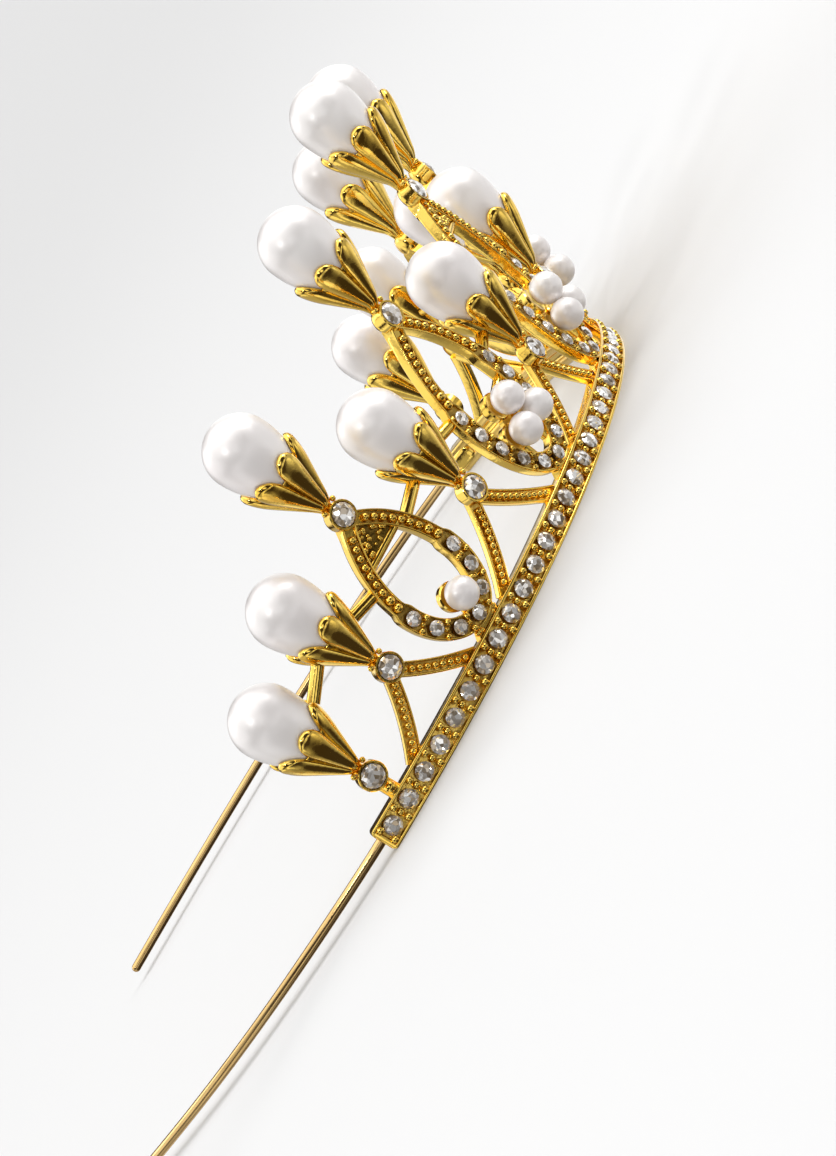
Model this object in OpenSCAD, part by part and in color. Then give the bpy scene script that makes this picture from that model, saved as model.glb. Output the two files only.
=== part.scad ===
// Mini crown headband: a cast gold tiara of thirteen pearl-tipped spikes on two spring-wire arms.
// Millimetres. +Z runs up the spikes, the middle of the front faces -Y, and the crown stands on its band at z = 0.

/* [Band] */
// Radius of the middle of the band, at its outer face
front_r = 72; // [64:1:84]
// How far that radius reaches to each side of the middle
front_reach = 66; // [56:1:76]
// Radius of the band towards its two ends
side_r = 96; // [80:1:130]
// Height of the band
band_h = 4; // [3.6:0.1:4.6]
// Depth of the band, front to back
band_d = 3; // [2.6:0.1:3.6]
// Width of the thin raised rims along the band's face
rim_w = 0.45; // [0.3:0.05:0.6]
// Depth of the channel that the band's stones sit in
channel_d = 0.95; // [0.8:0.05:1.1]
// Height of the groove along the back of the band
groove_h = 1.7; // [1:0.1:2]
// Depth of that groove
groove_d = 0.6; // [0.3:0.05:0.8]
// Plain stretch of band past the last stone
end_land = 2.6; // [2:0.1:4]

/* [Stones] */
// Number of stones along the band
stone_count = 44; // [42:2:48]
// Spacing of the stones along the band
stone_pitch = 4.05; // [3.6:0.05:4.3]
// Diameter of a band stone
band_stone_d = 2.65; // [2.2:0.05:2.9]
// Diameter of a stone in the pointed frames
frame_stone_d = 2.1; // [1.7:0.05:2.2]
// Diameter of the stone at the foot of each pearl's cap
bezel_stone_d = 3.3; // [2.8:0.1:3.6]
// Gap left round every stone and pearl
fit_gap = 0.1; // [0.05:0.01:0.15]

/* [Spikes] */
// Height of the middle bezel over the band's row of stones
peak_h = 36; // [32:1:42]
// How far the spikes lean outwards from upright
flare = 9.5; // [4:0.5:14]
// Depth of the pierced metalwork, front to back
metal_d = 1.8; // [1.5:0.1:2.1]
// Width of the beaded arms and frame sides
arm_w = 2.1; // [1.8:0.1:2.3]
// Half of the spread of a short spike's two arms, at the band
arm_spread = 9.4; // [8:0.2:10]
// Width of a full-sized pointed frame, between the middles of its sides
frame_w = 13; // [12:0.2:14]
// Width of the rims beside the frame's stones
frame_rim = 0.3; // [0.2:0.05:0.4]
// Outer diameter of the bezel cups
bezel_d = 4.1; // [3.9:0.1:4.8]
// Diameter of the round bars that tie the spikes together
bar_d = 1.6; // [1.3:0.1:1.9]

/* [Pearls] */
// Diameter of the drop pearls
pearl_d = 10; // [9:0.2:11]
// Length of a drop pearl
pearl_l = 13.2; // [12:0.2:14]
// How far the middle of a pearl's wide end stands out past its cap
pearl_out = 3.3; // [3:0.1:3.8]
// Length of a pearl cap from the bezel to the tips of its lobes
cap_l = 12.5; // [11.5:0.1:13]
// Width of a pearl cap across its lobes
cap_w = 11.4; // [10.8:0.1:12.4]
// Diameter of the small pearls inside the frames
small_pearl_d = 4.6; // [4:0.1:4.8]

/* [Wire arms] */
// Diameter of the headband wire
wire_d = 1.4; // [1.2:0.1:1.6]
// Length of wire held inside the band's end
wire_in = 4; // [3:0.5:5]
// How far the wire is bent inwards where it leaves the band, in degrees
wire_kink = 10; // [4:1:14]
// Radius of the wire's first long bend
wire_r = 92; // [80:2:120]
// Length of that bend
wire_l = 48; // [40:1:60]
// Radius of the wire's last stretch
tip_r = 180; // [140:5:300]
// Length of the last stretch
tip_l = 46; // [30:1:60]

/* [Hidden] */
row_z = band_h / 2;
band_reach = (stone_count - 1) / 2 * stone_pitch + end_land;
pearl_reach = cap_l + pearl_out;
frame_side = frame_stone_d + 2 * (frame_rim + fit_gap);
metal_front = -0.3;
metal_back = metal_front - metal_d;
arm_front = metal_front - 1.1;
arm_back = arm_front - 1.3;
bead_channel = 0.4;
// A little of one cast piece reaches into the next, so that they are one casting
sunk = 0.3;
pearl_axis_d = -0.3;
cup_front = 0.35;
pocket_d = 0.9;
bezel_stone_back = 0.85;
stone_depth = 0.48;
plate_l = 6.2;
plate_sunk = 0.7;
// The solid point of a frame: its length, how far it stands proud of the sides, and its half width past their middles
join_l = 0.75 * arm_w;
web_proud = 0.08;
web_share = 0.64;
tab_d = 0.35;
kink_r = 12;
lobes = 6;
// Each row is a spike, from the middle outwards: its place as a share of band_reach, its height as a share
// of peak_h, its lean in degrees, its frame's width as a share of frame_w, the frame's stones to each side,
// its small pearls, whether its point is filled, and the spread of its arms as a share of arm_spread.
PLACE = 0;
HEIGHT = 1;
LEAN = 2;
FRAME = 3;
PAIRS = 4;
SMALL = 5;
PLATE = 6;
ARMS = 7;
forms = [[0.000, 1.000, 0.0, 1.0, 5, 3, 1, 0],
         [0.160, 0.340, 2.7, 0.0, 0, 0, 0, 1],
         [0.320, 0.915, 1.2, 1.0, 5, 3, 0, 0],
         [0.481, 0.345, 5.0, 0.0, 0, 0, 0, 1],
         [0.639, 0.738, 2.6, 0.9, 3, 1, 1, 0],
         [0.783, 0.312, 5.0, 0.0, 0, 0, 0, 0.9],
         [0.926, 0.165, 4.3, 0.0, 0, 0, 0, 0]];
last = len(forms) - 1;
spikes = 2 * last + 1;

// Spike number to form, side of the crown, place along the band and bezel height
function form(i) = forms[abs(i - 1 - last)];
function side(i) = sign(i - 1 - last);
function place(i) = side(i) * form(i)[PLACE] * band_reach;
function height(i) = form(i)[HEIGHT] * peak_h;
function is_frame(i) = form(i)[FRAME] > 0;

// Heading, position and outward direction of the band's outer face, at a length s from its middle
function turn_at(s) = (min(abs(s), front_reach) / front_r + max(abs(s) - front_reach, 0) / side_r) * 180 / PI;
function heading(s) = sign(s) * turn_at(s);
function plan_x(s) = let (a = turn_at(s), b = min(a, turn_at(front_reach)))
    sign(s) * (front_r * sin(b) + side_r * (sin(a) - sin(b)));
function plan_y(s) = let (a = turn_at(s), b = min(a, turn_at(front_reach)))
    front_r * (1 - cos(b)) + side_r * (cos(b) - cos(a));
function outward(s) = [sin(heading(s)), -cos(heading(s))];
// A point beside the band, d outside its face, and a point on the leaning metalwork, h up and d in front
function rail(s, d, z) = [plan_x(s) + outward(s).x * d, plan_y(s) + outward(s).y * d, z];
function leaf(s, h, d) = rail(s, h * sin(flare) + d * cos(flare), row_z + h * cos(flare) - d * sin(flare));

// The headband wire, as a chain of bends: each row is a radius and an angle
wire_bends = [[kink_r, wire_kink], [wire_r, wire_l / wire_r * 180 / PI], [tip_r, tip_l / tip_r * 180 / PI]];
function bend_end(p, a, r, turn) = p + r * [sin(a + turn) - sin(a), cos(a) - cos(a + turn)];
wire_axis_d = -(channel_d + band_d + tab_d) / 2;
wire_from = [for (v = [0, 1]) rail(band_reach, wire_axis_d, 0)[v]];
function wire_point(n) = n == 0 ? wire_from
    : bend_end(wire_point(n - 1), wire_heading(n - 1), wire_bends[n - 1][0], wire_bends[n - 1][1]);
function wire_heading(n) = n == 0 ? turn_at(band_reach) : wire_heading(n - 1) + wire_bends[n - 1][1];
wire_tip = wire_point(len(wire_bends));

// The crown's front and back, and the middle between them
front_y = -((peak_h + pearl_reach) * sin(flare) + pearl_axis_d * cos(flare)) - pearl_d / 2;
back_y = wire_tip.y + wire_d / 2;
mid_y = (front_y + back_y) / 2;

// A pointed frame's outline: an elliptical foot, then two arcs that meet under the bezel
function half_w(f) = f[FRAME] * frame_w / 2;
function foot_h(f) = row_z + 1.3 + 0.07 * peak_h * (1 - f[HEIGHT]);
function tip_h(f) = f[HEIGHT] * peak_h - bezel_d / 4;
function wide_h(f) = 0.45 * f[HEIGHT] * peak_h;
function ogive_r(f) = (pow(half_w(f), 2) + pow(tip_h(f) - wide_h(f), 2)) / (2 * half_w(f));
function half_at(f, h) = h < wide_h(f)
    ? half_w(f) * sqrt(max(0, 1 - pow((wide_h(f) - h) / (wide_h(f) - foot_h(f)), 2)))
    : half_w(f) - ogive_r(f) + sqrt(pow(ogive_r(f), 2) - pow(h - wide_h(f), 2));
foot_steps = 6;
arc_steps = 5;
function half_outline(f) = concat(
    [for (k = [0:foot_steps]) let (a = 90 * k / foot_steps)
        [half_w(f) * sin(a), wide_h(f) - (wide_h(f) - foot_h(f)) * cos(a)]],
    [for (k = [1:arc_steps]) let (h = wide_h(f) + (tip_h(f) - join_l - wide_h(f)) * k / arc_steps)
        [half_at(f, h), h]]);
function outline(f) = let (half = half_outline(f), n = len(half) - 1)
    concat([for (k = [n:-1:1]) [-half[k].x, half[k].y]], half);

// Length along an outline, and the point at a given length
function lengths(path) = [for (k = 0, sum = 0; k < len(path);
    sum = sum + (k + 1 < len(path) ? norm(path[k + 1] - path[k]) : 0), k = k + 1) sum];
function along(path, l) = let (at = lengths(path)) [for (v = [0, 1])
    lookup(l, [for (k = [0:len(path) - 1]) [at[k], path[k][v]]])];

// Stones of a frame: one at the foot and the rest in pairs up both sides
frame_pitch = 1.65 * frame_stone_d;
function stone_places(f) = let (half = half_outline(f))
    [for (k = [-f[PAIRS]:f[PAIRS]]) let (p = along(half, abs(k) * frame_pitch)) [sign(k) * p.x, p.y]];
function stones_to(f) = along(half_outline(f), (f[PAIRS] + 0.5) * frame_pitch).y;

// Places of a frame's small pearls and of their seats
cluster_r = small_pearl_d / 2 / sin(60) + fit_gap;
small_front = small_pearl_d / 2 - 0.62;
seat_top = small_front - small_pearl_d / 2 - fit_gap;
function inner_foot(f) = foot_h(f) + frame_side / 2;
function cluster_h(f) = inner_foot(f) + 1.35 * small_pearl_d;
function small_places(f) = f[SMALL] == 1 ? [[0, inner_foot(f) + small_pearl_d / 2 + 0.2]]
    : [for (k = [0:2]) [0, cluster_h(f)] + cluster_r * [sin(120 * k), cos(120 * k)]];
frame_numbers = [for (i = [1:spikes]) if (is_frame(i)) i];
small_list = [for (i = frame_numbers) for (p = small_places(form(i))) [place(i) + p.x, p.y]];

// Everything is drawn from the middle of the front, then moved so that the origin is under the crown's middle
module placed() translate([0, -mid_y, 0]) children();

// Local frame on the metalwork: X along the band, Y up the spike, Z out to the front
module on_leaf(s, h, d) {
    o = outward(s);
    p = leaf(s, h, d);
    multmatrix([[-o.y, o.x * sin(flare), o.x * cos(flare), p.x],
                [o.x, o.y * sin(flare), o.y * cos(flare), p.y],
                [0, cos(flare), -sin(flare), p.z]]) children();
}

// The same on the upright face of the band
module on_band(s, d) {
    o = outward(s);
    p = rail(s, d, row_z);
    multmatrix([[-o.y, 0, o.x, p.x], [o.x, 0, o.y, p.y], [0, 1, 0, p.z]]) children();
}

// Local frame of a spike's cap and pearl: Z runs from the bezel out to the pearl
module on_spike(i) on_leaf(place(i), height(i), pearl_axis_d)
    rotate([0, 0, -side(i) * form(i)[LEAN]]) rotate([-90, 0, 0]) children();

// A solid between rings of points, closed by its first and last ring
module skin(rings) {
    n = len(rings[0]);
    m = len(rings);
    polyhedron([for (r = rings) for (p = r) p],
        concat([[for (j = [0:n - 1]) j]],
            [for (i = [0:m - 2]) for (j = [0:n - 1]) let (a = i * n + j, b = i * n + (j + 1) % n)
                each [[a, a + n, b + n], [a, b + n, b]]],
            [[for (j = [n - 1:-1:0]) (m - 1) * n + j]]));
}

// A strip of metal along a path of [place, height] points. Its section is a list of [side, inset, depth].
module strip(path, widths, section) {
    n = len(path) - 1;
    skin([for (k = [0:n])
        let (t = path[min(k + 1, n)] - path[max(k - 1, 0)], u = [t.y, -t.x] / norm(t))
        [for (q = section) let (p = path[k] + u * q[0] * (widths[k] / 2 - q[1])) leaf(p.x, p.y, q[2])]]);
}
arm_section = [[-1, 0, arm_back], [-1, 0, arm_front], [1, 0, arm_front], [1, 0, arm_back]];
channel_floor = metal_front - bead_channel;
channel_section = [[-1, 0, metal_back], [-1, 0, metal_front], [-1, frame_rim, metal_front],
    [-1, frame_rim, channel_floor], [1, frame_rim, channel_floor], [1, frame_rim, metal_front],
    [1, 0, metal_front], [1, 0, metal_back]];

// A square bar between two points of the metalwork, with pointed ends that sink into what it ties.
// Its width over its corners is a little more than the round bar it stands for.
bar_axis_d = (channel_floor + metal_back) / 2;
module bar(a, b, d = 1.15 * bar_d) {
    v = b - a;
    hull() for (end = [[a, -1], [b, 1]]) on_leaf(end[0].x, end[0].y, bar_axis_d)
        rotate([0, 0, atan2(v.y, v.x)]) rotate([0, 90 * end[1], 0]) rotate(45)
            cylinder(d1 = d, d2 = 0, h = d / 3, $fn = 4);
}

module band() {
    steps = 24;
    g = groove_h / 2;
    floor_g = 0.6 * g;
    section = [[-band_d, 0], [-band_d, row_z - g], [groove_d - band_d, row_z - floor_g],
        [groove_d - band_d, row_z + floor_g], [-band_d, row_z + g], [-band_d, band_h], [0, band_h],
        [0, band_h - rim_w], [-channel_d, band_h - rim_w], [-channel_d, rim_w], [0, rim_w], [0, 0]];
    skin([for (k = [0:steps]) let (s = band_reach * (2 * k / steps - 1)) [for (q = section) rail(s, q[0], q[1])]]);
}

// Tab that fills the groove at one end of the band, and the hole in it that holds a wire
module end_tab(m) on_band(m * (band_reach - 0.6 * wire_in), wire_axis_d - 0.1)
    cube([1.2 * wire_in, wire_d + 1.5, band_d + tab_d - channel_d - 0.2], center = true);
module wire_hole(m) on_band(m * band_reach, wire_axis_d)
    rotate([0, 90, 0]) cylinder(d = (wire_d + fit_gap) / cos(22.5), h = 2 * wire_in, center = true, $fn = 8);

// Fluted cap: six tapered lobes with grooves between them, hollow above for the pearl's narrow end.
// Each row is a share of the length, the radii of a lobe's crest and of the groove as shares of half the width,
// and how far the ring is set back: the neck reaches in under the bezel's stone.
module fluted_cap() {
    outside = [[0.07, 0.053, 0.05, 1.2], [0.78, 0.88, 0.56, 0], [1.00, 1.00, 0.68, 0]];
    floor_z = pearl_reach - drop_low - 2 * fit_gap;
    notch = 0.22;
    function spoke(j) = 60 * (floor(j / 3) + 0.5) + [0, 17, 43][j % 3];
    function level(j, share) = cap_l * share * (j % 3 == 0 ? 1 - notch * share : 1);
    function ring(radii, zs, set_back = 0) = [for (j = [0:3 * lobes - 1])
        [radii[j] * cos(spoke(j)), radii[j] * sin(spoke(j)) + set_back, zs[j]]];
    js = [0:3 * lobes - 1];
    rim_z = [for (j = js) level(j, 1)];
    skin(concat(
        [for (row = outside) ring([for (j = js) cap_w / 2 * row[j % 3 == 0 ? 2 : 1]],
            [for (j = js) level(j, row[0])], row[3])],
        [ring([for (j = js) drop_r(rim_z[j] - pearl_reach) + (j % 3 == 0 ? 1.5 : 4) * fit_gap], rim_z),
         ring([for (j = js) 0.48 * pearl_d / 2], [for (j = js) floor_z])]));
}

// Drop pearl: half an ellipse below the middle of its wide end, half a circle above it
drop_low = pearl_l - pearl_d / 2;
drop_steps = 24;
function drop_r(z) = pearl_d / 2 * sqrt(1 - pow(z / drop_low, 2));
drop_profile = [for (k = [0:drop_steps]) let (a = -90 + 180 * k / drop_steps)
    [k % drop_steps == 0 ? 0 : pearl_d / 2 * cos(a), (a < 0 ? drop_low : pearl_d / 2) * sin(a)]];

module bezel_cup(i) on_leaf(place(i), height(i), 0) difference() {
    translate([0, 0, metal_back - 0.15]) cylinder(d = bezel_d, h = cup_front - metal_back + 0.15, $fn = 10);
    translate([0, 0, cup_front - pocket_d]) cylinder(d = bezel_stone_d / cos(18) + fit_gap, h = 2, $fn = 10);
}

// Two curved arms that carry a short spike
module arms(i) {
    spread = arm_spread * form(i)[ARMS];
    for (m = [-1, 1]) {
        from = [0.3, height(i) - bezel_d / 4];
        by = [0.42 * spread, 0.46 * height(i)];
        to = [spread, row_z - 0.8];
        path = [for (k = [0:5]) let (t = k / 5, q = pow(1 - t, 2) * from + 2 * t * (1 - t) * by + t * t * to)
            [place(i) + m * q.x, q.y]];
        strip(path, [for (p = path) arm_w], [for (q = arm_section) q + [0, 0, 0.05 * m]]);
    }
}

// Pointed frame: a channelled strip down one side, round the foot and up the other side
module pointed_frame(i) {
    f = form(i);
    o = outline(f);
    top = stones_to(f);
    widths = [for (p = o) p.y < top ? frame_side : arm_w];
    strip([for (p = o) [place(i) + p.x, p.y]], widths, channel_section);
    // cast foot that joins the frame to the band
    foot = row_z + sunk;
    bar([place(i) - frame_w / 6, foot], [place(i) + frame_w / 6, foot], 0.95 * metal_d);
    web(i, tip_h(f) - join_l - sunk, tip_h(f), 1, metal_front + web_proud, web_share * arm_w);
    if (f[PLATE]) {
        low = tip_h(f) - plate_l;
        web(i, low, tip_h(f) - join_l, 3, metal_front - plate_sunk, 0);
        bar([place(i) - half_at(f, low), low], [place(i) + half_at(f, low), low], 0.95 * metal_d);
    }
    small_seats(i);
}

// Solid fill between the two sides of a frame, from one height to another, and a little beyond their middles
module web(i, low, high, steps, front, beyond) {
    back = metal_back - (beyond > 0 ? web_proud : -0.2);
    skin([for (k = [0:steps]) let (h = low + (high - low) * k / steps, w = half_at(form(i), h) + beyond)
        [for (q = [[-1, back], [-1, front], [1, front], [1, back]]) leaf(place(i) + q[0] * w, h, q[1])]]);
}

// Round seats for the small pearls, on legs from the foot of the frame
module small_seats(i) {
    f = form(i);
    places = small_places(f);
    for (p = places) {
        on_leaf(place(i) + p.x, p.y, metal_back + 0.1)
            cylinder(d = small_pearl_d - 0.5, h = seat_top - metal_back - 0.1, $fn = 8);
        if (f[SMALL] == 1 || p.x != 0)
            bar([place(i) + p.x, p.y - small_pearl_d / 3], [place(i) + p.x, foot_h(f) + 0.6], 1.05 * metal_d);
    }
    if (f[SMALL] > 1) {
        p = places[0] + [small_pearl_d / 3, 0.3];
        bar([place(i) + p.x, p.y], [place(i) + half_at(f, p.y + 1), p.y + 1]);
        on_leaf(place(i), cluster_h(f), metal_back + 0.3) rotate(30) cylinder(d = 3.4, h = 0.5 * metal_d, $fn = 6);
    }
}

// Short stem and ball that carry each end spike
module stem(i) {
    bar([place(i), row_z], [place(i), height(i) - bezel_d / 2], 2);
    on_leaf(place(i), (row_z + height(i) - bezel_d / 2) / 2, -0.9) sphere(d = 2.4, $fn = 6);
}

// Bars that tie a short spike's cap to the frame or the cap beside it
function cap_side(i, m, t, out) = [place(i) + m * out * cap_w + side(i) * t * cap_l * sin(form(i)[LEAN]),
    height(i) + t * cap_l];
module ties(i) {
    for (m = [-1, 1]) {
        j = i + m;
        if (is_frame(j)) {
            h = height(i) + 0.48 * cap_l;
            bar(cap_side(i, m, 0.58, 0.28), [place(j) - m * half_at(form(j), h), h]);
        } else
            bar(cap_side(i, m, 0.66, 0.3), cap_side(j, -m, 0.9, 0.44));
    }
}

module crown_frame() color("goldenrod") union() {
    difference() {
        union() {
            band();
            end_tab(-1);
            end_tab(1);
        }
        wire_hole(-1);
        wire_hole(1);
    }
    for (i = [1:spikes]) {
        on_spike(i) fluted_cap();
        bezel_cup(i);
        if (is_frame(i)) pointed_frame(i);
        if (form(i)[ARMS] > 0) {
            arms(i);
            ties(i);
        }
        if (!is_frame(i) && form(i)[ARMS] == 0) stem(i);
    }
}

// One wire arm: a straight end in the band, a chain of bends, and a rounded tip. m is its side, 1 for +X.
// Each row of the course is a place in plan, a heading and a share of the wire's radius.
bend_steps = [2, 10, 5];
wire_course = concat(
    [for (l = [wire_in - fit_gap, 0]) let (h = wire_heading(0))
        [wire_from.x - l * cos(h), wire_from.y - l * sin(h), h, 1]],
    [for (n = [0:len(wire_bends) - 1]) for (k = [1:bend_steps[n]])
        let (t = wire_bends[n][1] * k / bend_steps[n],
             p = bend_end(wire_point(n), wire_heading(n), wire_bends[n][0], t))
        [p.x, p.y, wire_heading(n) + t, 1]],
    [for (a = [30, 60, 85]) let (h = wire_heading(len(wire_bends)), l = wire_d / 2 * sin(a))
        [wire_tip.x + l * cos(h), wire_tip.y + l * sin(h), h, cos(a)]]);
module wire_arm(m) color("gold") skin([for (c = wire_course) let (r = wire_d / 2 * c[3]) [for (a = [0:30:330])
    [m * (c.x + r * cos(a) * sin(c.z)), c.y - r * cos(a) * cos(c.z), row_z - m * r * sin(a)]]]);
module wire_arm_left() wire_arm(-1);
module wire_arm_right() wire_arm(1);

module drop_pearl(i) color("ivory") on_spike(i) translate([0, 0, pearl_reach])
    rotate_extrude($fn = 72) polygon(drop_profile);

module small_pearl(k) color("ivory") on_leaf(small_list[k - 1].x, small_list[k - 1].y, small_front)
    sphere(d = small_pearl_d, $fn = 48);

// Cut stone with a table, stars, kites and girdle facets over a pointed back, girdle at z = 0
module brilliant(d, back) {
    r = d / 2;
    top = 0.16 * d;
    table = [for (k = [0:7]) r * 0.56 * [cos(45 * k), sin(45 * k)]];
    star = [for (k = [0:7]) r * 0.80 * [cos(45 * k + 22.5), sin(45 * k + 22.5)]];
    rim = [for (k = [0:15]) r * [cos(22.5 * k), sin(22.5 * k)]];
    points = concat([for (p = table) [p.x, p.y, top]], [for (p = star) [p.x, p.y, 0.62 * top]],
        [for (p = rim) [p.x, p.y, 0]], [[0, 0, -back]]);
    polyhedron(points, concat([[for (k = [7:-1:0]) k]],
        [for (k = [0:7]) let (n = (k + 1) % 8, s = 8 + k, a = 16 + 2 * k, b = a + 1, c = 16 + (2 * k + 2) % 16)
            each [[k, n, s], [k, s, a], [n, c, s], [s, b, a], [s, c, b], [a, b, 32], [b, c, 32]]]));
}

// Plain round stone: a table, eight crown facets and a shallow pointed back, girdle at z = 0
module chaton(d, back) {
    r = d / 2;
    top = 0.15 * d;
    points = concat([for (k = [0:7]) [r * 0.58 * cos(45 * k), r * 0.58 * sin(45 * k), top]],
        [for (k = [0:7]) [r * cos(45 * k), r * sin(45 * k), 0]], [[0, 0, -back]]);
    polyhedron(points, concat([[for (k = [7:-1:0]) k]],
        [for (k = [0:7]) let (n = (k + 1) % 8) each [[k, n, 8 + k], [n, 8 + n, 8 + k], [8 + k, 8 + n, 16]]]));
}

module bezel_stone(i) color("lightcyan") on_leaf(place(i), height(i), cup_front + 0.1)
    brilliant(bezel_stone_d, bezel_stone_back);

module band_stones() color("lightcyan") for (k = [0:stone_count - 1])
    on_band((k - (stone_count - 1) / 2) * stone_pitch, stone_depth + fit_gap - channel_d)
        chaton(band_stone_d, stone_depth);

module frame_stones() color("lightcyan") for (i = frame_numbers) for (p = stone_places(form(i)))
    on_leaf(place(i) + p.x, p.y, channel_floor + fit_gap + stone_depth) chaton(frame_stone_d, stone_depth);

placed() {
    crown_frame();
    wire_arm_left();
    wire_arm_right();
    for (i = [1:spikes]) {
        drop_pearl(i);
        bezel_stone(i);
    }
    for (k = [1:len(small_list)])
        small_pearl(k);
    band_stones();
    frame_stones();
}
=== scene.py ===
import bmesh
import bpy
import math
import random
from mathutils import Matrix, Vector


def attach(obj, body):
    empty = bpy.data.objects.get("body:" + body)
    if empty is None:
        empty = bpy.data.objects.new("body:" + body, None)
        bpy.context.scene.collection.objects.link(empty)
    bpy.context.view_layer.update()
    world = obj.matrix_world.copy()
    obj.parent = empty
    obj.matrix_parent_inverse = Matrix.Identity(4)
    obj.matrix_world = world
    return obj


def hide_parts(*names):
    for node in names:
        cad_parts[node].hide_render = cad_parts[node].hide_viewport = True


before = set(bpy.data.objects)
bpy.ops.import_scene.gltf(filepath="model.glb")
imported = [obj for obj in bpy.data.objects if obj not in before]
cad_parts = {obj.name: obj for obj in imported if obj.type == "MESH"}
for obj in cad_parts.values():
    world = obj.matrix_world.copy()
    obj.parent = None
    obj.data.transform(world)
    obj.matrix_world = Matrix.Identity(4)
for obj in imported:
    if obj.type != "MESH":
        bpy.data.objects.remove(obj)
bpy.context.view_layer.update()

mm = 0.001

# The crown's sizes in millimetres, as in the part's source
crown = dict(frontR=72, frontReach=66, sideR=96, bandH=4, bandD=3, rimW=0.45, channelD=0.95, grooveH=1.7,
             grooveD=0.6, endLand=2.6, stoneCount=44, stonePitch=4.05, bandStone=2.65, frameStone=2.1,
             frameRim=0.3, bezelStone=3.3, gap=0.1, peakH=36, flare=9.5, metalD=1.8, armW=2.1, armSpread=9.4,
             frameW=13, bezelD=4.1, pearlD=10, pearlL=13.2, pearlOut=3.3, capL=12.5, capW=11.4,
             smallPearl=4.6, smallSunk=0.62, tabD=0.35, wireD=1.4, wireIn=4, wireKink=10, kinkR=12, wireR=92,
             wireL=48, tipR=180, tipL=46)
rowZ = crown["bandH"] / 2
bandReach = (crown["stoneCount"] - 1) / 2 * crown["stonePitch"] + crown["endLand"]
frameSide = crown["frameStone"] + 2 * (crown["frameRim"] + crown["gap"])
framePitch = 1.65 * crown["frameStone"]
plateL = 6.2
stoneDepth = 0.48
pearlR = crown["pearlD"] / 2
pearlLow = crown["pearlL"] - pearlR
pearlReach = crown["capL"] + crown["pearlOut"]
smallR = crown["smallPearl"] / 2
flareCos = math.cos(math.radians(crown["flare"]))
flareSin = math.sin(math.radians(crown["flare"]))

# Depths in front of the band's face
metalFront = -0.3
metalBack = metalFront - crown["metalD"]
armFront = metalFront - 1.1
armBack = armFront - 1.3
channelFloor = metalFront - 0.4
armFloor = armFront - 0.4
barMid = (channelFloor + metalBack) / 2
cupFront = 0.35
pearlDepth = -0.3
wireDepth = -(crown["channelD"] + crown["bandD"] + crown["tabD"]) / 2

# Spikes from the middle outwards: place along the band, height, lean, frame width, pairs of frame stones,
# small pearls, filled point, spread of the arms
forms = [(0.000, 1.000, 0.0, 1.0, 5, 3, 1, 0), (0.160, 0.340, 2.7, 0.0, 0, 0, 0, 1),
         (0.320, 0.915, 1.2, 1.0, 5, 3, 0, 0), (0.481, 0.345, 5.0, 0.0, 0, 0, 0, 1),
         (0.639, 0.738, 2.6, 0.9, 3, 1, 1, 0), (0.783, 0.312, 5.0, 0.0, 0, 0, 0, 0.9),
         (0.926, 0.165, 4.3, 0.0, 0, 0, 0, 0)]
footLift = 1.3       # of a frame's foot above the row of stones
footRise = 0.07      # how much higher it lies on a lower spike, as a share of the peak's height
widestAt = 0.45      # of a frame, as a share of the spike's height


# The band's turn from the middle to a place along it
def turnAt(s):
    front = crown["frontReach"]
    return min(abs(s), front) / crown["frontR"] + max(abs(s) - front, 0) / crown["sideR"]


# A point beside the band, d in front of its face, and a point on the leaning metalwork, h up
def rail(s, d, z):
    side = -1 if s < 0 else 1
    a = turnAt(s)
    b = min(a, turnAt(crown["frontReach"]))
    x = crown["frontR"] * math.sin(b) + crown["sideR"] * (math.sin(a) - math.sin(b))
    y = crown["frontR"] * (1 - math.cos(b)) + crown["sideR"] * (math.cos(b) - math.cos(a))
    return Vector((side * (x + math.sin(a) * d), y - math.cos(a) * d, z))


def leaf(s, h, d):
    return rail(s, h * flareSin + d * flareCos, rowZ + h * flareCos - d * flareSin)


# A place with its own directions: X along the band, Y up, Z outwards, the last two leaning by an angle
def directions(s, place, leanSin, leanCos):
    a = turnAt(s) * (-1 if s < 0 else 1)
    ox, oy = math.sin(a), -math.cos(a)
    return Matrix(((-oy, ox * leanSin, ox * leanCos, place.x), (ox, oy * leanSin, oy * leanCos, place.y),
                   (0, leanCos, -leanSin, place.z), (0, 0, 0, 1)))


def bandFrame(s, d, z=0):
    return directions(s, rail(s, d, rowZ + z), 0, 1)


def leafFrame(s, h, d):
    return directions(s, leaf(s, h, d), flareSin, flareCos)


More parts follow.
